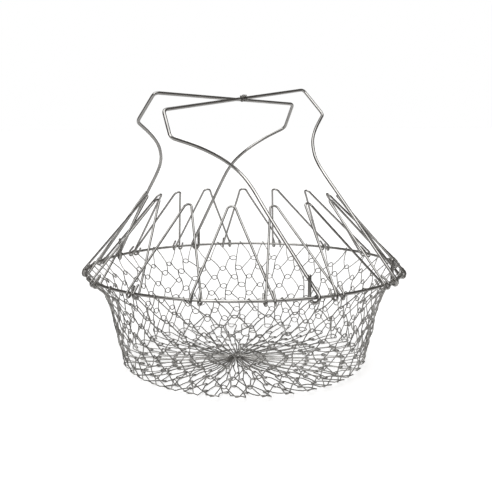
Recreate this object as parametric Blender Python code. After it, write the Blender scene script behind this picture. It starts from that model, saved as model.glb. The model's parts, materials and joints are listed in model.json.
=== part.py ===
"""A collapsible wire basket: a rim ring with hinged wire loops and two folding bail handles above it,
and a bag of linked zigzag wire rows hanging below it.

Units are metres and +Z is up. The origin is on the floor under the centre of the basket. An azimuth is
measured in plan from -Y, the front handle's side, towards +X. Run with: blender --background --python part.py
"""
import math

import bpy
from mathutils import Matrix, Vector

MM = 0.001

# Rim
RIM_RADIUS = 112.0 * MM  # to the middle of the rim wire
RIM_WIRE = 1.0 * MM  # radius of the rim wire
RIM_HEIGHT = 69.5 * MM
RIM_STEPS = 96

# Hinged loops round the rim
PETALS = 16
PETAL_WIRE = 0.75 * MM
PETAL_FOOT_ANGLE = math.radians(12.8)  # from the loop's middle to each foot, seen from the basket's axis
PETAL_LENGTH = 66.8 * MM  # from the hinge line to the tip
PETAL_LEAN = math.radians(40.5)  # inwards from the vertical
PETAL_TIP_RADIUS = 2.9 * MM
PETAL_TAIL = 6.0 * MM  # the free end that returns upwards from each foot
# The loops rest a little askew: their tips lie shifted towards one side, and crowd together there
TIP_DRIFT_AZIMUTH = math.radians(-131.5)
TIP_DRIFT = 3.5 * MM
TIP_CROWDING = 6.0 * MM

# Bail handles
HANDLE_WIRE = 1.1 * MM
HANDLE_FOOT_ANGLE = math.radians(19.0)
HANDLE_TAIL = 13.0 * MM
HANDLE_TAIL_SHIFT = 2.7 * MM  # the tail stands beside its leg, not behind it
BAR_LENGTH_UP = 158.0 * MM  # from the hinge line to the top bar, in the handle's plane
BAR_OFFSET = 2.0 * MM  # each bar stays this far on its own side of the axis
# half of the handle's outline in its own plane: (half width, distance from the hinge line)
LEG_OUTLINE = ((35.5, 60.0), (34.8, 84.0), (36.3, 97.0), (40.7, 107.0), (47.5, 116.0), (57.5, 124.5))
LEG_FLUSH = (75.0, 116.0)  # the legs bow outwards up to the first distance, and lie flat from the second
SHOULDER = (72.4, 134.3)
BAR_END = (67.4, 158.0)
CORNER_CUT = 3.0 * MM  # how far each rounded corner starts from its sharp corner
# name, azimuth, and the set of its wire: sideways sway per unit of length, slope of the top bar,
# share by which the top is wider, and sideways bow at half height in millimetres
HANDLES = (
    ("handle_front", 0.0, (-0.03, 0.165, 0.045, -2.5)),
    ("handle_rear", math.pi, (0.068, 0.05, -0.045, 0.0)))

EYELET_GAP = 0.4 * MM  # running gap between the rim and each eyelet

# Clip on the front handle's bar
CLIP_WIRE = 0.5 * MM
CLIP_GAP = 0.35 * MM
CLIP_TURNS = 3
CLIP_PITCH = 1.9 * MM
CLIP_START = 1.0 * MM  # along the bar from its middle
CLIP_FINGER = 3.0 * MM

# Net of linked zigzag wires
NET_WIRE = 0.375 * MM
NET_CELLS = 36
NET_LINK = 0.6 * MM  # half of the space between two rows where their bends meet
NET_STEP_IN = 1.2 * MM  # each row's upper bends sit this far inside the row above
SIDE_BREAKS = (  # (radius, depth below the rim) at the edges of the side rows
    (109.5, 4.2), (101.2, 11.2), (98.2, 18.4), (96.0, 25.6), (94.2, 32.6),
    (92.6, 39.6), (91.1, 46.4), (89.6, 53.0), (88.1, 59.6), (86.2, 66.0))
BASE_ROWS = (  # (outer radius, inner radius, points at each bend)
    (83.8, 74.0, 1), (72.8, 62.0, 1), (60.8, 49.5, 2), (48.3, 31.0, 2), (29.8, 13.0, 2))
BEND_SHARE = 0.21  # of a cell, from the middle of a two-point bend to each of its points

# Ring that gathers the innermost bends
TIE_RADIUS = 4.8 * MM
TIE_WIRE = 0.8 * MM
TIE_STEPS = 24
TIE_SIDES = 8

STEEL = (0.62, 0.61, 0.59, 1.0)
DARK_STEEL = (0.38, 0.37, 0.35, 1.0)


def clear_scene():
    """Remove every object that the scene starts with."""
    for thing in list(bpy.data.objects):
        bpy.data.objects.remove(thing, do_unlink=True)


def steel(name, colour, roughness):
    """A polished metal material."""
    material = bpy.data.materials.new(name)
    material.use_nodes = True
    shader = material.node_tree.nodes["Principled BSDF"]
    shader.inputs["Base Color"].default_value = colour
    shader.inputs["Metallic"].default_value = 1.0
    shader.inputs["Roughness"].default_value = roughness
    return material


def link(name, data, material, parent=None):
    """Add an object for the data, under an empty if one is given."""
    data.materials.append(material)
    thing = bpy.data.objects.new(name, data)
    bpy.context.scene.collection.objects.link(thing)
    thing.parent = parent
    return thing


def hinge_empty(name, place, turn=0.0):
    """An empty on a hinge line or a slide, turned in plan, that carries moving pieces."""
    empty = bpy.data.objects.new(name, None)
    empty.location = place
    empty.rotation_euler = (0.0, 0.0, turn)
    bpy.context.scene.collection.objects.link(empty)
    return empty


def wire(name, points, radius, detail, closed=False, tilt=0.0):
    """A round wire through the points: detail 0 gives 4 sides, 1 gives 6 and 2 gives 8."""
    curve = bpy.data.curves.new(name, "CURVE")
    curve.dimensions = "3D"
    curve.bevel_depth = radius
    curve.bevel_resolution = detail
    curve.use_fill_caps = not closed
    curve.twist_mode = "Z_UP" if closed else "MINIMUM"
    spline = curve.splines.new("POLY")
    spline.points.add(len(points) - 1)
    for spot, place in zip(spline.points, points):
        spot.co = (*place, 1.0)
        spot.tilt = tilt
    spline.use_cyclic_u = closed
    spline.use_smooth = True
    return curve


def ring_point(radius, azimuth, height):
    """A point at an azimuth from the front."""
    return Vector((radius * math.sin(azimuth), -radius * math.cos(azimuth), height))


def smooth_path(points, steps):
    """Points along a Catmull-Rom curve through the given points, with their first and last as guides only."""
    path = []
    for before, start, end, after in zip(points, points[1:], points[2:], points[3:]):
        for step in range(steps):
            t = step / steps
            path.append(0.5 * (2 * start + (end - before) * t
                               + (2 * before - 5 * start + 4 * end - after) * t ** 2
                               + (3 * start - before - 3 * end + after) * t ** 3))
    path.append(points[-2])
    return path


def rounded(corner, before, after, cut, steps=3):
    """Points round one corner of a path, on a quadratic arc that starts and ends a cut away from it."""
    start = corner + (before - corner).normalized() * cut
    end = corner + (after - corner).normalized() * cut
    return [start.lerp(corner, t).lerp(corner.lerp(end, t), t)
            for t in (step / steps for step in range(steps + 1))]


def leaning(lean):
    """A function from (sideways, up the plane, out of the plane) to a point in a leaning part's own frame."""
    up = Vector((0.0, math.sin(lean), math.cos(lean)))
    out = Vector((0.0, -math.cos(lean), math.sin(lean)))
    side = Vector((1.0, 0.0, 0.0))
    return lambda s, v, n: side * s + up * v + out * n


# ---------------------------------------------------------------- rim and loops

def build_rim(material):
    """The rim ring, which every eyelet runs on."""
    points = [ring_point(RIM_RADIUS, 2 * math.pi * i / RIM_STEPS, RIM_HEIGHT) for i in range(RIM_STEPS)]
    link("rim_ring", wire("rim_ring", points, RIM_WIRE, 1, closed=True), material)


def beside_handle(azimuth):
    """Whether a loop stands among a handle's legs, which keep it from leaning out."""
    reach = HANDLE_FOOT_ANGLE + PETAL_FOOT_ANGLE
    return any(math.cos(azimuth - handle[1]) > math.cos(reach) for handle in HANDLES)


def petal_rest(azimuth):
    """How far a loop's tip lies sideways of its middle, and the loop's lean, at rest."""
    turn = TIP_DRIFT_AZIMUTH - azimuth
    sideways = (TIP_DRIFT + 2 * TIP_CROWDING * max(math.cos(turn), 0.0)) * math.sin(turn)
    outwards = 0.0 if beside_handle(azimuth) else TIP_DRIFT * max(math.cos(turn), 0.0) ** 3
    inwards = PETAL_LENGTH * math.sin(PETAL_LEAN) - outwards
    return sideways, math.asin(inwards / PETAL_LENGTH)


def petal_curve(name, sideways, lean):
    """One hairpin loop in its own frame: its hinge line is the X axis and it leans towards +Y.

    The left leg starts outside the rim and the right leg inside it, so neighbours cross without touching.
    """
    place = leaning(lean)
    reach = RIM_WIRE + EYELET_GAP + PETAL_WIRE
    half = RIM_RADIUS * math.sin(PETAL_FOOT_ANGLE)
    tip_base = PETAL_LENGTH - PETAL_TIP_RADIUS

    def foot(side):
        """Tail, then the curl under the rim, ending where the leg starts."""
        points = [place(side * half, PETAL_TAIL, side * reach)]
        for step in range(5):
            turn = math.pi * step / 4
            points.append(place(side * half, -reach * math.sin(turn), side * reach * math.cos(turn)))
        return points

    tip = []
    for step in range(5):
        turn = math.radians(160 - 35 * step)
        tip.append(place(sideways + PETAL_TIP_RADIUS * math.cos(turn),
                         tip_base + PETAL_TIP_RADIUS * math.sin(turn), 0.0))
    return wire(name, foot(-1) + tip + foot(1)[::-1], PETAL_WIRE, 1)


def build_petals(material):
    """The loops, each under an empty on its hinge line."""
    for number in range(PETALS):
        azimuth = 2 * math.pi * number / PETALS
        name = f"petal_{number + 1:02d}"
        middle = ring_point(RIM_RADIUS * math.cos(PETAL_FOOT_ANGLE), azimuth, RIM_HEIGHT)
        empty = hinge_empty(f"{name}_hinge", middle, azimuth)
        link(name, petal_curve(name, *petal_rest(azimuth)), material, empty)


# ---------------------------------------------------------------- handles and clip

def handle_lean():
    """The lean that holds the top bar over the basket's axis, a little on the handle's own side."""
    return math.asin((RIM_RADIUS * math.cos(HANDLE_FOOT_ANGLE) - BAR_OFFSET) / BAR_LENGTH_UP)


def handle_spot(sway, slope, spread, bow):
    """A function from outline coordinates in millimetres to the handle's own frame, bent as that handle is.

    The legs run flush with the outside of the rim and come back to the handle's plane below the shoulders.
    """
    place = leaning(handle_lean())
    reach = RIM_WIRE + EYELET_GAP + HANDLE_WIRE
    flush, flat = LEG_FLUSH

    def spot(u, v):
        share = v * MM / BAR_LENGTH_UP
        across = u * MM * (1 + spread * min(v / SHOULDER[1], 1.0))
        across += sway * v * MM + bow * MM * 4 * share * (1 - share)
        out = reach * min(max((flat - v) / (flat - flush), 0.0), 1.0)
        return place(across, v * MM + slope * u * MM * share, out)
    return spot


def handle_frame(azimuth):
    """The matrix from a handle's own frame to the basket's."""
    middle = ring_point(RIM_RADIUS * math.cos(HANDLE_FOOT_ANGLE), azimuth, RIM_HEIGHT)
    return Matrix.Translation(middle) @ Matrix.Rotation(azimuth, 4, "Z")


def handle_foot(side):
    """Tail, then the eyelet under the rim, ending at the outside of the rim where the leg starts.

    The rim curves inwards past the foot, so the eyelet widens towards the tail to stay clear of it.
    """
    reach = RIM_WIRE + EYELET_GAP + HANDLE_WIRE
    half = RIM_RADIUS * math.sin(HANDLE_FOOT_ANGLE)
    widen = math.tan(HANDLE_FOOT_ANGLE)
    sweep = math.pi + handle_lean()
    points = [Vector((side * (half + HANDLE_TAIL_SHIFT), reach + HANDLE_TAIL_SHIFT * widen, HANDLE_TAIL))]
    for step in range(8):
        turn = sweep * step / 7
        shift = HANDLE_TAIL_SHIFT * (1 - step / 7)
        radius = reach + shift * widen
        points.append(Vector((side * (half + shift), radius * math.cos(turn), -radius * math.sin(turn))))
    return points


def handle_side(side, spot):
    """From the foot's leg up to the shoulder and the end of the top bar."""
    outline = [spot(side * u, v) for u, v in LEG_OUTLINE]
    shoulder = spot(side * SHOULDER[0], SHOULDER[1])
    bar_end = spot(side * BAR_END[0], BAR_END[1])
    other_end = spot(-side * BAR_END[0], BAR_END[1])
    curve = smooth_path([outline[0] * 2 - outline[1], *outline, shoulder], 2)
    return (curve + rounded(shoulder, outline[-1], bar_end, CORNER_CUT)
            + rounded(bar_end, shoulder, other_end, CORNER_CUT))


def build_handles(material):
    """The two bail handles, each under an empty on its hinge line."""
    for name, azimuth, bends in HANDLES:
        spot = handle_spot(*bends)
        left = handle_foot(-1) + handle_side(-1, spot)
        right = handle_foot(1) + handle_side(1, spot)
        middle = handle_frame(azimuth).translation
        empty = hinge_empty(f"{name}_hinge", middle, azimuth)
        link(name, wire(name, left + right[::-1], HANDLE_WIRE, 2), material, empty)


def bar_line(handle):
    """A point at the middle of a handle's top bar and the bar's direction, in the basket's frame."""
    name, azimuth, bends = handle
    spot = handle_spot(*bends)
    frame = handle_frame(azimuth)
    ends = [frame @ spot(u, BAR_END[1]) for u in (-BAR_END[0], BAR_END[0])]
    return frame @ spot(0.0, BAR_END[1]), (ends[1] - ends[0]).normalized()


def build_clip(material):
    """A short coil that turns on the front bar, with a finger that lies over the rear bar's near side."""
    middle, along = bar_line(HANDLES[0])
    start = middle + along * CLIP_START
    towards = Vector((0.0, 1.0, 0.0))
    towards = (towards - along * towards.dot(along)).normalized()
    above = along.cross(towards)
    radius = HANDLE_WIRE + CLIP_GAP + CLIP_WIRE
    steps = 12
    points = []
    for step in range(steps * CLIP_TURNS + 1):
        turn = math.pi / 2 + 2 * math.pi * step / steps
        drift = along * (CLIP_PITCH * step / steps)
        points.append(drift + (towards * math.cos(turn) + above * math.sin(turn)) * radius)
    points.append(points[-1] + towards * CLIP_FINGER)
    empty = hinge_empty("handle_clip_hinge", start)
    link("handle_clip", wire("handle_clip", points, CLIP_WIRE, 1), material, empty)


# ---------------------------------------------------------------- net

def zigzag(upper_radius, upper_height, lower_radius, lower_height, half_cells, bend_points):
    """A closed zigzag between two circles, with one or two points at each bend."""
    cell = 2 * math.pi / NET_CELLS
    shifts = (0.0,) if bend_points == 1 else (-BEND_SHARE * cell, BEND_SHARE * cell)
    points = []
    for number in range(NET_CELLS):
        azimuth = cell * (number + 0.5 * half_cells)
        points += [ring_point(upper_radius, azimuth + shift, upper_height) for shift in shifts]
        points += [ring_point(lower_radius, azimuth + 0.5 * cell + shift, lower_height) for shift in shifts]
    return points


def build_side_rows(material):
    """The side rows, from the rim down, each a smaller ring than the one above so that they nest."""
    for number, (upper, lower) in enumerate(zip(SIDE_BREAKS, SIDE_BREAKS[1:]), 1):
        step_in = NET_STEP_IN if number > 1 else 0.0
        points = zigzag(upper[0] * MM - step_in, RIM_HEIGHT - upper[1] * MM - NET_LINK,
                        lower[0] * MM, RIM_HEIGHT - lower[1] * MM + NET_LINK, number % 2, 1)
        empty = hinge_empty(f"net_side_row_{number}_slide", (0.0, 0.0, 0.0))
        name = f"net_side_row_{number}"
        link(name, wire(name, points, NET_WIRE, 0, closed=True), material, empty)


def build_base(material, tie_material):
    """The flat rows of the base and the ring in their middle, on one slide."""
    empty = hinge_empty("net_base_slide", (0.0, 0.0, 0.0))
    height = NET_WIRE
    for number, (outer, inner, bend_points) in enumerate(BASE_ROWS, 1):
        half_cells = (number + len(SIDE_BREAKS) - 1) % 2
        points = zigzag(outer * MM, height, inner * MM, height, half_cells, bend_points)
        name = f"net_base_row_{number}"
        link(name, wire(name, points, NET_WIRE, 0, closed=True), material, empty)
    link("net_centre_tie", tie_mesh(), tie_material, empty)


def tie_mesh():
    """The centre ring, with a flat underside that lies on the floor."""
    mesh = bpy.data.meshes.new("net_centre_tie")
    verts = []
    flat = math.pi / TIE_SIDES
    height = TIE_WIRE * math.cos(flat)
    for i in range(TIE_STEPS):
        azimuth = 2 * math.pi * i / TIE_STEPS
        for j in range(TIE_SIDES):
            turn = 2 * math.pi * j / TIE_SIDES + flat
            verts.append(ring_point(TIE_RADIUS + TIE_WIRE * math.cos(turn), azimuth,
                                    height + TIE_WIRE * math.sin(turn)))
    faces = []
    for i in range(TIE_STEPS):
        for j in range(TIE_SIDES):
            here, after = i * TIE_SIDES, (i + 1) % TIE_STEPS * TIE_SIDES
            k = (j + 1) % TIE_SIDES
            faces.append((here + j, after + j, after + k, here + k))
    mesh.from_pydata(verts, [], faces)
    mesh.shade_smooth()
    return mesh


def main():
    """Build every piece of the basket."""
    clear_scene()
    frame_steel = steel("polished_steel", STEEL, 0.2)
    net_steel = steel("net_steel", STEEL, 0.3)
    tie_steel = steel("tie_steel", DARK_STEEL, 0.35)
    build_rim(frame_steel)
    build_petals(frame_steel)
    build_handles(frame_steel)
    build_clip(tie_steel)
    build_side_rows(net_steel)
    build_base(net_steel, tie_steel)


main()
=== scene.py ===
"""Looks for the collapsible wire basket: smooth wires, the linked net, polished steel, studio and camera.

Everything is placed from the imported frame. Units are metres, +Z up. An azimuth is measured in plan from -Y,
the front handle's side, towards +X.
"""
import json
import math
import random

import bpy
import numpy as np
from mathutils import Matrix, Vector


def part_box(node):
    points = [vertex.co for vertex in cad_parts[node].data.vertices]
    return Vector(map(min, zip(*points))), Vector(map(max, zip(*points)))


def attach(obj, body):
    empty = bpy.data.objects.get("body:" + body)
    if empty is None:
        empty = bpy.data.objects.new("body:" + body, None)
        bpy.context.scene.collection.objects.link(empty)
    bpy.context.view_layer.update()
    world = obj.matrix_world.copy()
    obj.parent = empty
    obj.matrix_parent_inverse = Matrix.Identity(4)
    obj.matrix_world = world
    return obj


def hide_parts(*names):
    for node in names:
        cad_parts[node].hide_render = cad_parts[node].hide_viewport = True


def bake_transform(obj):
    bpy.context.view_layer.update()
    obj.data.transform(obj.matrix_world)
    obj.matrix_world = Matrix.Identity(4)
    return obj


MM = 0.001
TAU = 2 * math.pi

# Wires, as radii
RIM_WIRE = 1.0 * MM
PETAL_WIRE = 0.75 * MM
HANDLE_WIRE = 1.1 * MM
CLIP_WIRE = 0.5 * MM
NET_WIRE = 0.375 * MM
EYELET_GAP = 0.3 * MM

# Loops round the rim
PETALS = 16
PETAL_FOOT_ANGLE = math.radians(12.8)
PETAL_LENGTH = 66.8 * MM
PETAL_LEAN = math.radians(40.5)
PETAL_TIP_RADIUS = 2.9 * MM
PETAL_TAIL = 5.5 * MM
PETAL_SLACK = 1.0 * MM  # how much further each foot's curl hangs below the rim than a close fit
TIP_DRIFT_AZIMUTH = math.radians(-131.5)
TIP_DRIFT = 3.5 * MM
TIP_CROWDING = 6.0 * MM
PETAL_STRAY = 1.5 * MM  # how far a loop's tip may stray sideways from that, as hand-bent wire does
PETAL_STRAY_LEAN = math.radians(0.6)  # and how far its lean may

# Bail handles, as outlines in millimetres: (half width, distance from the hinge line)
HANDLE_FOOT_ANGLE = math.radians(19.0)
HANDLE_TAIL = 13.0 * MM
HANDLE_TAIL_SHIFT = 2.7 * MM
HANDLE_TAIL_ANGLE = 0.024  # the same shift as an angle round the rim, in radians
LEG_OUTLINE = ((35.5, 60.0), (34.8, 84.0), (36.3, 97.0), (40.7, 107.0), (47.5, 116.0), (57.5, 124.5))
LEG_FLUSH = (75.0, 116.0)
SHOULDER = (72.4, 134.3)
BAR_END = (67.4, 158.0)
BAR_LENGTH_UP = 158.0 * MM
BAR_OFFSET = 2.0 * MM
CORNER_CUT = 3.2 * MM
# sideways sway, the bar's slope, the share by which the top is wider, and the sideways bow in millimetres
HANDLE_BENDS = {"handle_front": (-0.03, 0.165, 0.045, -2.5), "handle_rear": (0.068, 0.05, -0.045, 0.0)}
HANDLE_AZIMUTHS = (0.0, math.pi)

# Clip
CLIP_TURNS = 3
CLIP_PITCH = 1.9 * MM
CLIP_FINGER = 3.0 * MM

# Net
NET_CELLS = 36
# each line of links below the rim, in millimetres: radius, height above the floor, bends' half width
NET_LINES = (
    (101.2, 58.3, 2.0), (98.2, 51.1, 2.0), (96.0, 43.9, 2.0), (94.2, 36.9, 2.0), (92.6, 29.9, 2.0),
    (91.1, 23.1, 2.0), (89.6, 16.5, 2.0), (88.1, 9.9, 2.0), (86.2, 3.2, 1.8), (73.4, 1.2, 2.2),
    (61.4, 1.0, 2.1), (48.9, 1.0, 1.9), (35.0, 1.1, 1.5), (20.5, 1.4, 1.0), (4.6, 2.2, 0.4))
SIDE_ROWS = 9
EDGE_BEND = 4.6 * MM  # half width of the base's outermost bends, which run along the net's bottom edge
BEND_HEIGHT = 1.9 * MM  # no bend is higher than this
BEND_SPREAD = 0.3  # bends are wider than the list says by this share at the back, and narrower at the front
RIM_BEND_ROOM = 2.9 * MM  # how far the bends over the rim keep from the feet on it
LINK_RISE = 0.78  # a bend's height over its half width
LINK_OFFSET = NET_WIRE + 0.05 * MM
NET_DRIFT = 6.7 * MM  # how far the net's middle lies off the axis, towards the side that the loops drift to
NET_BULGE_AZIMUTH = math.radians(-50.0)
NET_BULGE = 2.4 * MM

# Camera, measured from the rim's centre
CAMERA_AZIMUTH = math.radians(-41.5)
CAMERA_DISTANCE = 0.5445
CAMERA_ABOVE_RIM = 0.0999
CAMERA_PITCH = math.radians(8.86)
CAMERA_YAW = math.radians(0.16)
CAMERA_ROLL = math.radians(-0.28)
CAMERA_LENS = 55.97
CAMERA_SENSOR = 36.0

# Studio light, as directions seen from the basket
OVERHEAD_LIGHT = 1.6
OVERHEAD_EDGE = (0.78, 0.92)  # of a direction's upward part
FRONT_LIGHT = 2.4
FRONT_EDGE = (0.91, 0.98)  # of a direction's part towards the light
FRONT_TURN = math.radians(-26.0)
FRONT_RISE = math.radians(42.0)
TABLE_LIGHT = 0.5  # what the steel sees of the pale surface below it
TABLE_EDGE = (0.05, 0.45)  # of a direction's downward part
ROOM_COLOUR = (0.11, 0.105, 0.1, 1.0)
FLOOR_GLOW = 0.55  # the floor's own light, which keeps it white
FLOOR_COLOUR = (0.9, 0.9, 0.9, 1.0)
FLOOR_ROUGHNESS = 0.7
FLOOR_REACH = 30.0

# Steel
DARK_SHARE = 0.72  # how bright the duller patches are, as a share of the bright ones
DIE_LINE_STRENGTH = 0.1
DIE_LINE_DEPTH = 0.05 * MM


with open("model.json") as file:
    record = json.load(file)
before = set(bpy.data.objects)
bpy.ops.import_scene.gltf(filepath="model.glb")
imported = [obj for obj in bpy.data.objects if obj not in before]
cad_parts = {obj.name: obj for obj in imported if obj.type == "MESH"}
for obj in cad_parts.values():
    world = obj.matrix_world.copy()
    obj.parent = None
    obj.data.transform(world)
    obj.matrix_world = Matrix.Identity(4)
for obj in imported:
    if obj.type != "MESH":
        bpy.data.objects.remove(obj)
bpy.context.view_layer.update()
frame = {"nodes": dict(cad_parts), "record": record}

rim_low, rim_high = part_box("rim_ring")
RIM_HEIGHT = (rim_low[2] + rim_high[2]) / 2
RIM_RADIUS = (rim_high[0] - rim_low[0]) / 2 - RIM_WIRE
JOINTS = {joint["name"]: joint for joint in frame["record"]["behaviour"]["joints"]}


# ---------------------------------------------------------------- paths and tubes

def ring_point(radius, azimuth, height):
    """A point at an azimuth from the front."""
    return Vector((radius * math.sin(azimuth), -radius * math.cos(azimuth), height))


def smooth_path(points, steps, closed=False):
    """Points along a Catmull-Rom curve through all the given points."""
    points = [Vector(p) for p in points]
    if closed:
        padded = [points[-1], *points, points[0], points[1]]
    else:
        padded = [points[0] * 2 - points[1], *points, points[-1] * 2 - points[-2]]
    path = []
    for before, start, end, after in zip(padded, padded[1:], padded[2:], padded[3:]):
        for step in range(steps):
            t = step / steps
            path.append(0.5 * (2 * start + (end - before) * t
                               + (2 * before - 5 * start + 4 * end - after) * t ** 2
                               + (3 * start - before - 3 * end + after) * t ** 3))
    if not closed:
        path.append(points[-1])
    return path


def rounded(corner, before, after, cut, steps=8):
    """Points round one corner of a path, on a quadratic arc that starts and ends a cut away from it."""
    start = corner + (before - corner).normalized() * cut
    end = corner + (after - corner).normalized() * cut
    return [start.lerp(corner, t).lerp(corner.lerp(end, t), t)
            for t in (step / steps for step in range(steps + 1))]


def turning_frames(path, closed):
    """Unit tangents and one turning-free normal for each point of a path."""
    points = np.array([tuple(p) for p in path])
    if closed:
        ahead, behind = np.roll(points, -1, 0), np.roll(points, 1, 0)
    else:
        ahead, behind = np.vstack([points[1:], points[-1:]]), np.vstack([points[:1], points[:-1]])
    tangents = ahead - behind
    tangents /= np.linalg.norm(tangents, axis=1)[:, None]
    normal = np.cross(tangents[0], (0.0, 0.0, 1.0))
    if np.linalg.norm(normal) < 0.1:
        normal = np.cross(tangents[0], (1.0, 0.0, 0.0))
    normals = []
    for tangent in tangents:
        normal = normal - tangent * (normal @ tangent)
        normal /= np.linalg.norm(normal)
        normals.append(normal)
    normals = np.array(normals)
    if closed:
        first = normals[0] - tangents[-1] * (normals[0] @ tangents[-1])
        twist = math.atan2(np.cross(normals[-1], first) @ tangents[-1], normals[-1] @ first)
        turns = twist * np.arange(len(points)) / len(points)
        sides = np.cross(tangents, normals)
        normals = normals * np.cos(turns)[:, None] + sides * np.sin(turns)[:, None]
    return points, tangents, normals


def tube(name, path, radius, sides=10, closed=False):
    """A round wire along a path, with rounded ends, and UVs in metres: across the wire and along it."""
    points, tangents, normals = turning_frames(path, closed)
    across = np.cross(tangents, normals)
    angles = TAU * np.arange(sides) / sides
    circle = np.cos(angles)[:, None, None] * normals + np.sin(angles)[:, None, None] * across
    circle = circle.transpose(1, 0, 2)
    lengths = np.concatenate([[0.0], np.cumsum(np.linalg.norm(np.diff(points, axis=0), axis=1))])
    centres, radii, along = points, np.full(len(points), radius), lengths
    if not closed:
        caps = [(0.35, 0.94), (0.7, 0.71), (0.93, 0.37)]
        head = [(points[0] - tangents[0] * radius * a, radius * b) for a, b in reversed(caps)]
        foot = [(points[-1] + tangents[-1] * radius * a, radius * b) for a, b in caps]
        centres = np.vstack([[c for c, _ in head], points, [c for c, _ in foot]])
        radii = np.concatenate([[r for _, r in head], radii, [r for _, r in foot]])
        circle = np.concatenate([circle[:1]] * 3 + [circle] + [circle[-1:]] * 3)
        along = np.concatenate([[0.0] * 3, lengths, [lengths[-1]] * 3])
    rings = len(centres)
    verts = (centres[:, None, :] + circle * radii[:, None, None]).reshape(-1, 3).tolist()
    faces, uvs = [], []
    for ring in range(rings if closed else rings - 1):
        after = (ring + 1) % rings
        low = along[ring]
        high = along[after] if after else along[ring] + np.linalg.norm(points[0] - points[-1])
        here, ahead = ring * sides, after * sides
        for side in range(sides):
            step = (side + 1) % sides
            faces.append((here + side, here + step, ahead + step, ahead + side))
            left, right = side / sides, (side + 1) / sides
            uvs += [(left, low), (right, low), (right, high), (left, high)]
    if not closed:
        verts.append(tuple(points[0] - tangents[0] * radius))
        verts.append(tuple(points[-1] + tangents[-1] * radius))
        last = (rings - 1) * sides
        for side in range(sides):
            step = (side + 1) % sides
            faces.append((step, side, len(verts) - 2))
            faces.append((last + side, last + step, len(verts) - 1))
            uvs += [(side / sides, 0.0)] * 3 + [(side / sides, lengths[-1])] * 3
    mesh = bpy.data.meshes.new(name)
    mesh.from_pydata(verts, [], faces)
    layer = mesh.uv_layers.new(name="wire")
    layer.data.foreach_set("uv", np.array(uvs, np.float32).ravel())
    mesh.shade_smooth()
    piece = bpy.data.objects.new(name, mesh)
    bpy.context.scene.collection.objects.link(piece)
    return piece


def leaning(lean):
    """A function from (sideways, up the plane, out of the plane) to a point in a leaning part's own frame."""
    up = Vector((0.0, math.sin(lean), math.cos(lean)))
    out = Vector((0.0, -math.cos(lean), math.sin(lean)))
    side = Vector((1.0, 0.0, 0.0))
    return lambda s, v, n: side * s + up * v + out * n


def hinge_frame(joint_name):
    """The matrix of a hinge on the rim: X along the rim towards greater azimuth, Y inwards, Z up."""
    place = Vector(JOINTS[joint_name]["pos_m"])
    azimuth = math.atan2(place.x, -place.y)
    return Matrix.Translation(place) @ Matrix.Rotation(azimuth, 4, "Z")


# ---------------------------------------------------------------- materials

def nodes_of(material):
    """A material's node adder, its links and its shader."""
    material.use_nodes = True
    tree = material.node_tree
    return tree.nodes.new, tree.links.new, tree.nodes["Principled BSDF"]


def steel(name, colour, rough):
    """Polished drawn wire: fine die lines along it, and slow changes of colour from place to place."""
    material = bpy.data.materials.new(name)
    node, join, shader = nodes_of(material)
    shader.inputs["Metallic"].default_value = 1.0
    where = node("ShaderNodeTexCoord")
    stretch = node("ShaderNodeMapping")
    stretch.inputs["Scale"].default_value = (14.0, 60.0, 1.0)
    join(where.outputs["UV"], stretch.inputs["Vector"])
    lines = node("ShaderNodeTexNoise")
    lines.inputs["Scale"].default_value = 3.0
    lines.inputs["Detail"].default_value = 4.0
    join(stretch.outputs["Vector"], lines.inputs["Vector"])
    patches = node("ShaderNodeTexNoise")
    patches.inputs["Scale"].default_value = 70.0
    patches.inputs["Detail"].default_value = 3.0
    join(where.outputs["Object"], patches.inputs["Vector"])
    shades = node("ShaderNodeValToRGB")
    low, high = shades.color_ramp.elements
    low.position, high.position = 0.3, 0.72
    low.color = (*(channel * DARK_SHARE for channel in colour), 1.0)
    high.color = (*colour, 1.0)
    join(patches.outputs["Fac"], shades.inputs["Fac"])
    join(shades.outputs["Color"], shader.inputs["Base Color"])
    polish = node("ShaderNodeMapRange")
    polish.inputs["From Min"].default_value = 0.3
    polish.inputs["From Max"].default_value = 0.7
    polish.inputs["To Min"].default_value = rough * 0.7
    polish.inputs["To Max"].default_value = rough * 1.5
    join(lines.outputs["Fac"], polish.inputs["Value"])
    join(polish.outputs["Result"], shader.inputs["Roughness"])
    relief = node("ShaderNodeBump")
    relief.inputs["Strength"].default_value = DIE_LINE_STRENGTH
    relief.inputs["Distance"].default_value = DIE_LINE_DEPTH
    join(lines.outputs["Fac"], relief.inputs["Height"])
    join(relief.outputs["Normal"], shader.inputs["Normal"])
    return material


def floor_material():
    """A plain pale studio surface."""
    material = bpy.data.materials.new("studio_floor")
    shader = nodes_of(material)[2]
    shader.inputs["Base Color"].default_value = FLOOR_COLOUR
    shader.inputs["Roughness"].default_value = FLOOR_ROUGHNESS
    shader.inputs["Emission Color"].default_value = (1.0, 1.0, 1.0, 1.0)
    shader.inputs["Emission Strength"].default_value = FLOOR_GLOW
    return material


def finish_piece(piece, material, body, slot, *replaced):
    """Give a piece its material, body and the CAD nodes that it stands for; its slot is not used."""
    piece.data.materials.append(material)
    if body is not None:
        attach(piece, body)
    if replaced:
        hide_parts(*replaced)
    return piece


# ---------------------------------------------------------------- rim, loops, handles, clip

def make_rim(material):
    """The rim ring."""
    steps = 240
    path = [ring_point(RIM_RADIUS, TAU * i / steps, RIM_HEIGHT) for i in range(steps)]
    finish_piece(tube("rim_wire", path, RIM_WIRE, 14, closed=True), material, "frame", "rim_wire", "rim_ring")


def beside_handle(azimuth):
    """Whether a loop stands among a handle's legs, which keep it from leaning out."""
    reach = HANDLE_FOOT_ANGLE + PETAL_FOOT_ANGLE
    return any(math.cos(azimuth - handle) > math.cos(reach) for handle in HANDLE_AZIMUTHS)


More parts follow.
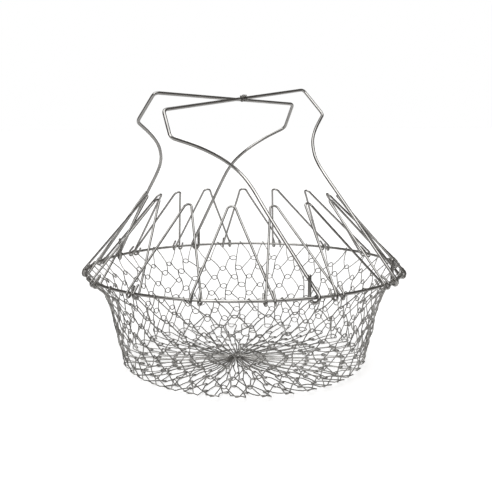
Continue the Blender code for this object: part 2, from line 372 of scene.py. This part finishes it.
def petal_rest(azimuth):
    """How far a loop's tip lies sideways of its middle, and the loop's lean, at rest."""
    turn = TIP_DRIFT_AZIMUTH - azimuth
    sideways = (TIP_DRIFT + 2 * TIP_CROWDING * max(math.cos(turn), 0.0)) * math.sin(turn)
    outwards = 0.0 if beside_handle(azimuth) else TIP_DRIFT * max(math.cos(turn), 0.0) ** 3
    inwards = PETAL_LENGTH * math.sin(PETAL_LEAN) - outwards
    return sideways, math.asin(inwards / PETAL_LENGTH)


def petal_path(sway, lean):
    """One loop's wire in its hinge frame, with its tip swayed sideways."""
    place = leaning(lean)
    reach = RIM_WIRE + EYELET_GAP + PETAL_WIRE
    half = RIM_RADIUS * math.sin(PETAL_FOOT_ANGLE)
    tip_base = PETAL_LENGTH - PETAL_TIP_RADIUS

    def foot(side):
        towards = (sway + side * (PETAL_TIP_RADIUS - half)) / tip_base
        points = []
        for share in (1.0, 0.66, 0.33):
            up = PETAL_TAIL * share
            points.append(place(side * half + 0.5 * towards * up, up, side * (reach - 0.12 * up)))
        for step in range(11):
            turn = math.pi * step / 10
            drop = (reach + PETAL_SLACK) * math.sin(turn)
            points.append(place(side * half, -drop, side * reach * math.cos(turn)))
        return points

    def leg(side):
        start = Vector((side * half, 0.0, -side * reach))
        end = Vector((side * PETAL_TIP_RADIUS + sway, tip_base, 0.0))
        return [place(*start.lerp(end, share)) for share in (0.1, 0.3, 0.5, 0.7, 0.9)]

    tip = []
    for step in range(9):
        turn = math.radians(170 - 20 * step)
        tip.append(place(PETAL_TIP_RADIUS * math.cos(turn) + sway,
                         tip_base + PETAL_TIP_RADIUS * math.sin(turn), 0.0))
    return foot(-1) + leg(-1) + tip + leg(1)[::-1] + foot(1)[::-1]


def make_petals(material):
    """The sixteen hinged loops, each bent a little differently."""
    rng = random.Random(3)
    for number in range(1, PETALS + 1):
        body = f"petal_{number:02d}"
        place = Vector(JOINTS[f"{body}_fold"]["pos_m"])
        sway, lean = petal_rest(math.atan2(place.x, -place.y))
        sway += rng.uniform(-PETAL_STRAY, PETAL_STRAY)
        lean += rng.uniform(-PETAL_STRAY_LEAN, PETAL_STRAY_LEAN)
        path = petal_path(sway, lean)
        piece = tube(f"{body}_wire", smooth_path(path, 2), PETAL_WIRE, 10)
        piece.data.transform(hinge_frame(f"{body}_fold"))
        finish_piece(piece, material, body, "petal_wire", body)


def handle_lean():
    """The lean that holds the top bar over the basket's axis, a little on the handle's own side."""
    return math.asin((RIM_RADIUS * math.cos(HANDLE_FOOT_ANGLE) - BAR_OFFSET) / BAR_LENGTH_UP)


def handle_spot(sway, slope, spread, bow):
    """A function from outline coordinates in millimetres to the handle's own frame, with its bends."""
    place = leaning(handle_lean())
    reach = RIM_WIRE + EYELET_GAP + HANDLE_WIRE
    flush, flat = LEG_FLUSH

    def spot(u, v):
        share = v * MM / BAR_LENGTH_UP
        across = u * MM * (1 + spread * min(v / SHOULDER[1], 1.0))
        across += sway * v * MM + bow * MM * 4 * share * (1 - share)
        out = reach * min(max((flat - v) / (flat - flush), 0.0), 1.0)
        return place(across, v * MM + slope * u * MM * share, out)
    return spot


def handle_foot(side):
    """Tail, then the eyelet under the rim, ending at the outside of the rim where the leg starts."""
    reach = RIM_WIRE + EYELET_GAP + HANDLE_WIRE
    half = RIM_RADIUS * math.sin(HANDLE_FOOT_ANGLE)
    widen = math.tan(HANDLE_FOOT_ANGLE)
    sweep = math.pi + handle_lean()
    inside = reach + HANDLE_TAIL_SHIFT * widen
    points = [Vector((side * (half + HANDLE_TAIL_SHIFT), inside, HANDLE_TAIL * share))
              for share in (1.0, 0.66, 0.33)]
    steps = 16
    for step in range(steps + 1):
        turn = sweep * step / steps
        shift = HANDLE_TAIL_SHIFT * (1 - step / steps)
        radius = reach + shift * widen
        points.append(Vector((side * (half + shift), radius * math.cos(turn), -radius * math.sin(turn))))
    return points


def handle_side(side, spot):
    """From the foot up to the shoulder and the end of the top bar."""
    outline = [spot(side * u, v) for u, v in LEG_OUTLINE]
    shoulder = spot(side * SHOULDER[0], SHOULDER[1])
    bar_end = spot(side * BAR_END[0], BAR_END[1])
    other_end = spot(-side * BAR_END[0], BAR_END[1])
    curve = smooth_path([*handle_foot(side)[-1:], *outline, shoulder], 8)[1:]
    corner = rounded(shoulder, outline[-1], bar_end, CORNER_CUT)
    near = (corner[0] - shoulder).length
    curve = [point for point in curve if (point - shoulder).length > near + 1.5 * MM]
    return curve + corner + rounded(bar_end, shoulder, other_end, CORNER_CUT)


def make_handles(material):
    """The two bail handles."""
    for name, bends in HANDLE_BENDS.items():
        spot = handle_spot(*bends)
        left = handle_foot(-1) + handle_side(-1, spot)
        right = handle_foot(1) + handle_side(1, spot)
        bar = [left[-1].lerp(right[-1], share) for share in (0.1, 0.25, 0.4, 0.5, 0.6, 0.75, 0.9)]
        piece = tube(f"{name}_wire", left + bar + right[::-1], HANDLE_WIRE, 14)
        piece.data.transform(hinge_frame(f"{name}_swing"))
        finish_piece(piece, material, name, "handle_wire", name)


def make_clip(material):
    """The clip: a coil on the front bar, with a finger over the near side of the rear bar."""
    joint = JOINTS["handle_clip_turn"]
    start, along = Vector(joint["pos_m"]), Vector(joint["axis"]).normalized()
    towards = Vector((0.0, 1.0, 0.0))
    towards = (towards - along * towards.dot(along)).normalized()
    above = along.cross(towards)
    radius = HANDLE_WIRE + 0.2 * MM + CLIP_WIRE
    steps = 20
    path = []
    for step in range(steps * CLIP_TURNS + 1):
        turn = math.pi / 2 + TAU * step / steps
        path.append(start + along * (CLIP_PITCH * step / steps)
                    + (towards * math.cos(turn) + above * math.sin(turn)) * radius)
    end = path[-1]
    for share in (0.35, 0.7, 1.0):
        path.append(end + towards * (CLIP_FINGER * share) + above * (0.15 * MM * share))
    piece = tube("handle_clip_wire", path, CLIP_WIRE, 10)
    finish_piece(piece, material, "handle_clip", "clip_wire", "handle_clip")


# ---------------------------------------------------------------- net

def blocked_azimuths():
    """Where feet already sit on the rim."""
    spots = []
    for name, joint in JOINTS.items():
        if name.endswith(("_fold", "_swing")):
            place = Vector(joint["pos_m"])
            middle = math.atan2(place.x, -place.y)
            feet = (PETAL_FOOT_ANGLE,)
            if name.endswith("_swing"):
                feet = (HANDLE_FOOT_ANGLE, HANDLE_FOOT_ANGLE + HANDLE_TAIL_ANGLE)
            spots += [middle + side * foot for foot in feet for side in (-1, 1)]
    return spots


def link_nodes():
    """Every link of the net: place, sideways, upward and outward directions, and its bends' half width."""
    rng = random.Random(7)
    blocked = blocked_azimuths()
    cell = TAU / NET_CELLS
    lines = [(RIM_RADIUS, RIM_HEIGHT, 0.0)] + [tuple(value * MM for value in line) for line in NET_LINES]
    drift = ring_point(NET_DRIFT, TIP_DRIFT_AZIMUTH, 0.0)
    made = []
    for line, (radius, height, width) in enumerate(lines):
        above = lines[max(line - 1, 0)]
        below = lines[min(line + 1, len(lines) - 1)]
        run, rise = above[0] - below[0], above[1] - below[1]
        length = math.hypot(run, rise)
        nodes = []
        for number in range(NET_CELLS):
            azimuth = cell * (number + 0.5 * (line % 2))
            if line == 0:
                gaps = [(azimuth - spot + math.pi) % TAU - math.pi for spot in blocked]
                gap = min(gaps, key=abs)
                room = RIM_BEND_ROOM / radius
                if abs(gap) < room:
                    azimuth += math.copysign(room - abs(gap), gap if gap else 1.0)
            else:
                wave = 0.10 * math.sin(2 * azimuth + 1.7 * line) + 0.08 * math.sin(5 * azimuth - line)
                azimuth += cell * (wave + rng.uniform(-0.11, 0.11))
            sideways = Vector((math.cos(azimuth), math.sin(azimuth), 0.0))
            outwards = Vector((math.sin(azimuth), -math.cos(azimuth), 0.0))
            up = (outwards * run + Vector((0.0, 0.0, rise))) / length
            normal = up.cross(sideways)
            if normal.dot(outwards - Vector((0.0, 0.0, 1.0))) < 0:
                normal = -normal
            place = ring_point(radius, azimuth, height)
            if line:
                waver = 0.7 * math.sin(3 * azimuth + line) + rng.uniform(-0.6, 0.6)
                place += normal * (rng.uniform(-0.3, 0.3) * MM)
                place += up * (waver * MM * (1.0 if line < SIDE_ROWS else 0.5))
                near = max(math.cos(azimuth - NET_BULGE_AZIMUTH), 0.0) ** 10
                place += outwards * (NET_BULGE * near * max(1 - abs(line - SIDE_ROWS) / 2.5, 0.0))
                place += drift * max(1 - radius / lines[SIDE_ROWS][0], 0.0) ** 0.8
            if line >= SIDE_ROWS:
                place.z = height + rng.uniform(-0.1, 0.15) * MM
            tilt = rng.uniform(-0.3, 0.3) if line else 0.0
            turned = sideways * math.cos(tilt) + up * math.sin(tilt)
            raised = up * math.cos(tilt) - sideways * math.sin(tilt)
            own_width = width * rng.uniform(0.85, 1.12)
            own_width *= 1 - BEND_SPREAD * math.cos(azimuth - CAMERA_AZIMUTH)
            nodes.append((place, turned, raised, normal, own_width))
        made.append(nodes)
    return made


def bend(node, opening, width=None):
    """Points round one bend, left to right, crossing to its other side: 1 arches upwards, -1 hangs down."""
    place, sideways, up, normal, own_width = node
    width = width or own_width
    height = min(LINK_RISE * width, BEND_HEIGHT)
    points = []
    for step in range(7):
        turn = math.pi * (1 - step / 6)
        across = width * math.cos(turn)
        rise = opening * (height * math.sin(turn) + 0.1 * MM)
        side = LINK_OFFSET * opening * (step / 3 - 1)
        points.append(place + sideways * across + up * rise + normal * side)
    return points


def rim_bend(node):
    """Points over the rim wire, from inside it to outside it."""
    place, sideways = node[:2]
    radius = RIM_WIRE + NET_WIRE + 0.12 * MM
    outwards = Vector((place.x, place.y, 0.0)).normalized()
    points = []
    for step in range(9):
        turn = math.radians(200 - 27.5 * step)
        across = 1.3 * MM * (step / 4 - 1)
        points.append(place + sideways * across + outwards * (radius * math.cos(turn))
                      + Vector((0.0, 0.0, radius * math.sin(turn))))
    return points


def row_path(upper, lower, first, shifted, rng, width=None):
    """One zigzag wire between two lines of links, its upper bends as wide as said or as their links."""
    path = []
    for number in range(NET_CELLS):
        top = upper[number]
        bottom = lower[(number + shifted) % NET_CELLS]
        after = upper[(number + 1) % NET_CELLS]
        arch = rim_bend(top) if first else bend(top, 1, width)
        hang = bend(bottom, -1)
        nearby = rim_bend(after) if first else bend(after, 1, width)
        path += arch
        path += bowed(arch[-1], hang[0], rng)
        path += hang
        path += bowed(hang[-1], nearby[0], rng)
    return path


def bowed(start, end, rng):
    """Two points along a slightly bowed stretch."""
    bow = Vector([rng.uniform(-1, 1) for _ in range(3)]) * (0.05 * (end - start).length)
    return [start.lerp(end, 0.33) + bow, start.lerp(end, 0.67) + bow * 0.8]


def make_net(material):
    """The linked rows: side rows, then the rows of the base. The top row goes with the frame, the rows after
    it down to the first row of the base go with no body, and the rest go with the base.
    """
    lines = link_nodes()
    rng = random.Random(11)
    for number in range(1, len(lines)):
        upper, lower = lines[number - 1], lines[number]
        shifted = (number - 1) % 2
        width = EDGE_BEND if number == SIDE_ROWS + 1 else None
        path = row_path(upper, lower, number == 1, shifted, rng, width)
        row = f"side_wire_{number}" if number <= SIDE_ROWS else f"base_wire_{number - SIDE_ROWS}"
        name = f"net_{row}"
        replaced = name.replace("wire", "row")
        piece = tube(name, path, NET_WIRE, 8, closed=True)
        stands_for = [replaced] if replaced in frame["nodes"] else []
        if number == 1:
            finish_piece(piece, material, "frame", "net_wire", *stands_for)
        elif number <= SIDE_ROWS + 1:
            finish_piece(piece, material, None, "net_wire", *stands_for)
            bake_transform(piece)
        else:
            finish_piece(piece, material, "net_base", "net_wire", *stands_for)


def make_centre(material):
    """The ring that gathers the innermost bends, wound three times."""
    middle = ring_point(NET_DRIFT, TIP_DRIFT_AZIMUTH, 0.0)
    path = []
    steps = 48
    turns = 3
    for step in range(steps * turns + 1):
        turn = TAU * step / steps
        radius = 2.6 * MM + 0.5 * MM * math.sin(turn / 3)
        path.append(middle + ring_point(radius, turn, (0.9 + 2.2 * step / (steps * turns)) * MM))
    piece = tube("net_centre_wire", path, 0.55 * MM, 10)
    finish_piece(piece, material, "net_base", "clip_wire", "net_centre_tie")


# ---------------------------------------------------------------- studio

def make_floor():
    """A wide pale floor."""
    mesh = bpy.data.meshes.new("studio_floor")
    reach = FLOOR_REACH
    corners = [(-reach, -reach, 0), (reach, -reach, 0), (reach, reach, 0), (-reach, reach, 0)]
    mesh.from_pydata(corners, [], [(0, 1, 2, 3)])
    floor = bpy.data.objects.new("studio_floor", mesh)
    floor.data.materials.append(floor_material())
    floor.visible_glossy = False
    bpy.context.scene.collection.objects.link(floor)


def make_studio():
    """A white backdrop, and soft light from above and from behind the camera in an otherwise dim room.

    The dim room shows only in the steel, as the dark edges that polished wire has against a white backdrop.
    """
    bpy.context.scene.view_settings.view_transform = "Standard"
    world = bpy.data.worlds.new("studio")
    bpy.context.scene.world = world
    world.use_nodes = True
    tree = world.node_tree
    node, join = tree.nodes.new, tree.links.new
    tree.nodes.clear()
    where = node("ShaderNodeTexCoord")
    split = node("ShaderNodeSeparateXYZ")
    join(where.outputs["Generated"], split.inputs["Vector"])
    above = node("ShaderNodeMapRange")
    above.interpolation_type = "SMOOTHSTEP"
    above.inputs["From Min"].default_value, above.inputs["From Max"].default_value = OVERHEAD_EDGE
    above.inputs["To Max"].default_value = OVERHEAD_LIGHT
    join(split.outputs["Z"], above.inputs["Value"])
    facing = node("ShaderNodeVectorMath")
    facing.operation = "DOT_PRODUCT"
    towards = ring_point(math.cos(FRONT_RISE), CAMERA_AZIMUTH + FRONT_TURN, math.sin(FRONT_RISE))
    facing.inputs[1].default_value = towards
    join(where.outputs["Generated"], facing.inputs[0])
    front = node("ShaderNodeMapRange")
    front.interpolation_type = "SMOOTHSTEP"
    front.inputs["From Min"].default_value, front.inputs["From Max"].default_value = FRONT_EDGE
    front.inputs["To Max"].default_value = FRONT_LIGHT
    join(facing.outputs["Value"], front.inputs["Value"])
    below = node("ShaderNodeMapRange")
    below.interpolation_type = "SMOOTHSTEP"
    below.inputs["From Min"].default_value = -TABLE_EDGE[0]
    below.inputs["From Max"].default_value = -TABLE_EDGE[1]
    below.inputs["To Max"].default_value = TABLE_LIGHT
    join(split.outputs["Z"], below.inputs["Value"])
    upper = node("ShaderNodeMath")
    join(above.outputs["Result"], upper.inputs[0])
    join(front.outputs["Result"], upper.inputs[1])
    both = node("ShaderNodeMath")
    join(upper.outputs["Value"], both.inputs[0])
    join(below.outputs["Result"], both.inputs[1])
    lights = node("ShaderNodeBackground")
    lights.inputs["Color"].default_value = (1.0, 1.0, 1.0, 1.0)
    join(both.outputs["Value"], lights.inputs["Strength"])
    dim = node("ShaderNodeBackground")
    dim.inputs["Color"].default_value = ROOM_COLOUR
    room = node("ShaderNodeAddShader")
    join(lights.outputs["Background"], room.inputs[0])
    join(dim.outputs["Background"], room.inputs[1])
    backdrop = node("ShaderNodeBackground")
    backdrop.inputs["Color"].default_value = (1.0, 1.0, 1.0, 1.0)
    path = node("ShaderNodeLightPath")
    choose = node("ShaderNodeMixShader")
    join(path.outputs["Is Camera Ray"], choose.inputs["Fac"])
    join(room.outputs["Shader"], choose.inputs[1])
    join(backdrop.outputs["Background"], choose.inputs[2])
    output = node("ShaderNodeOutputWorld")
    join(choose.outputs["Shader"], output.inputs["Surface"])


def make_camera():
    """The camera, at the same view as the reference."""
    yaw, pitch, roll = CAMERA_YAW, CAMERA_PITCH, CAMERA_ROLL
    ahead = Vector((math.sin(yaw) * math.cos(pitch), math.cos(yaw) * math.cos(pitch), -math.sin(pitch)))
    right = Vector((math.cos(yaw), -math.sin(yaw), 0.0))
    up = right.cross(ahead)
    rolled_right = right * math.cos(roll) + up * math.sin(roll)
    rolled_up = up * math.cos(roll) - right * math.sin(roll)
    axes = Matrix((rolled_right, rolled_up, -ahead)).transposed().to_4x4()
    place = Matrix.Translation((0.0, -CAMERA_DISTANCE, RIM_HEIGHT + CAMERA_ABOVE_RIM))
    data = bpy.data.cameras.new("camera")
    data.lens = CAMERA_LENS
    data.sensor_width = CAMERA_SENSOR
    data.clip_start = 0.01
    camera = bpy.data.objects.new("camera", data)
    camera.matrix_world = Matrix.Rotation(CAMERA_AZIMUTH, 4, "Z") @ place @ axes
    bpy.context.scene.collection.objects.link(camera)
    bpy.context.scene.camera = camera


def main():
    """Build the looks."""
    frame_steel = steel("frame_steel", (0.66, 0.65, 0.63), 0.16)
    loop_steel = steel("loop_steel", (0.62, 0.61, 0.59), 0.2)
    net_steel = steel("net_steel", (0.58, 0.57, 0.55), 0.26)
    dark_steel = steel("clip_steel", (0.36, 0.35, 0.33), 0.3)
    make_rim(frame_steel)
    make_petals(loop_steel)
    make_handles(frame_steel)
    make_clip(dark_steel)
    make_net(net_steel)
    make_centre(dark_steel)
    make_floor()
    make_studio()
    make_camera()


main()
